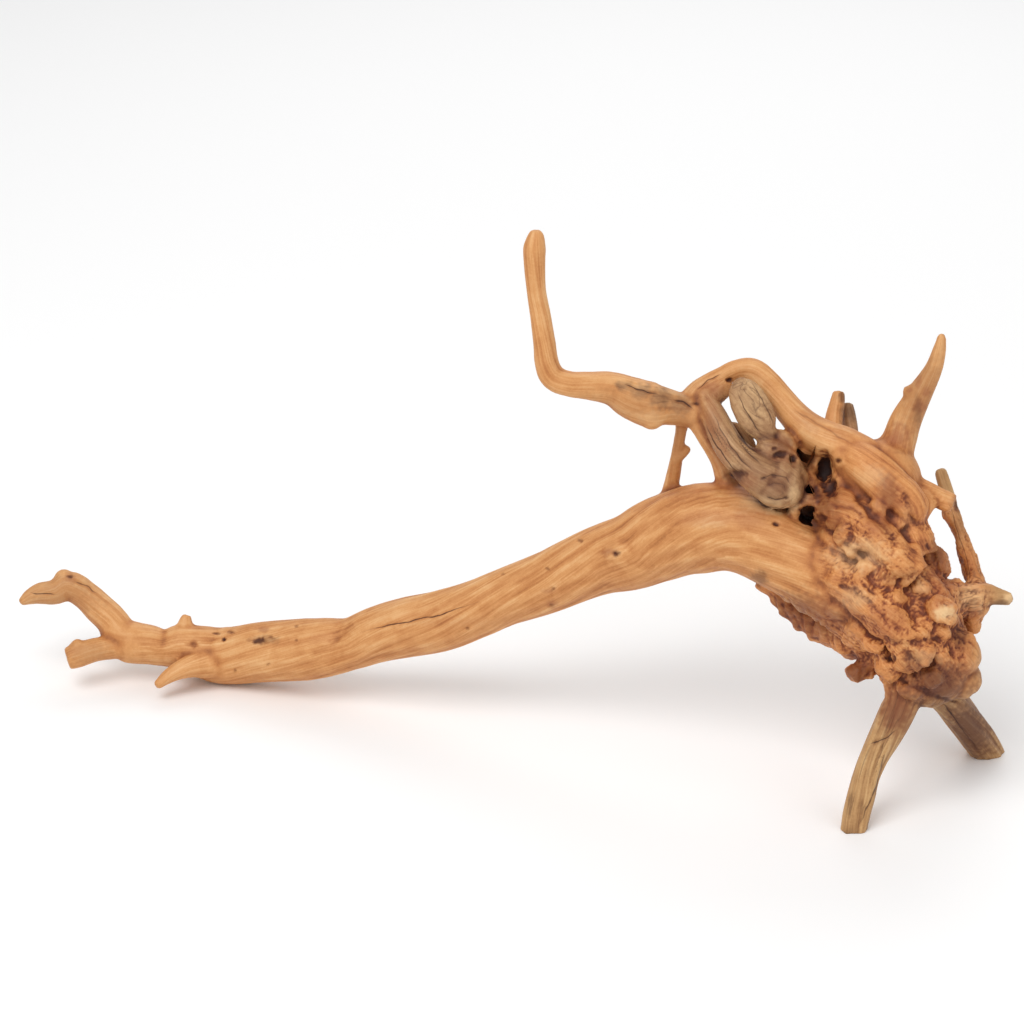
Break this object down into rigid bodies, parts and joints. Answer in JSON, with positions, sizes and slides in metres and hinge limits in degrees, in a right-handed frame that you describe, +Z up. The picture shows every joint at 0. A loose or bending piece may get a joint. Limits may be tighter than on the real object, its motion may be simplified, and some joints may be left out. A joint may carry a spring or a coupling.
{
  "type": "aquarium driftwood",
  "caption": "Branching driftwood root for an aquarium, with a gnarled crown, a long smooth branch, an arched side root and an upright arm.",
  "frame": {"origin": "on the floor under the middle of the piece's bounding box", "axes": "+X along the main branch from its hooked tip towards the crown, +Y away from the viewer, +Z up"},
  "size_m": [0.5254, 0.1864, 0.284],
  "materials": {
    "peeled_wood": "bare, peeled and worn smooth, matt",
    "crown_wood": "rough knotted burl, matt",
    "weathered_wood": "old weathered grey-brown wood, matt",
    "leg_wood": "dull olive-tan wood with cracks, matt"
  },
  "bodies": {
    "root": {"root_crown": "crown_wood", "main_branch": "peeled_wood", "hooked_tip": "peeled_wood", "short_tip_fork": "peeled_wood", "tip_spur": "peeled_wood", "upper_arm": "peeled_wood", "arch_root": "peeled_wood", "strap_root": "weathered_wood", "weathered_flap": "weathered_wood", "back_twig": "peeled_wood", "top_spike": "peeled_wood", "twin_stub_left": "peeled_wood", "twin_stub_right": "weathered_wood", "side_peg": "peeled_wood", "rear_twig": "leg_wood", "right_knob": "leg_wood", "front_leg": "leg_wood", "rear_leg": "leg_wood", "under_root": "crown_wood", "under_stub": "crown_wood"}
  },
  "joints": []
}
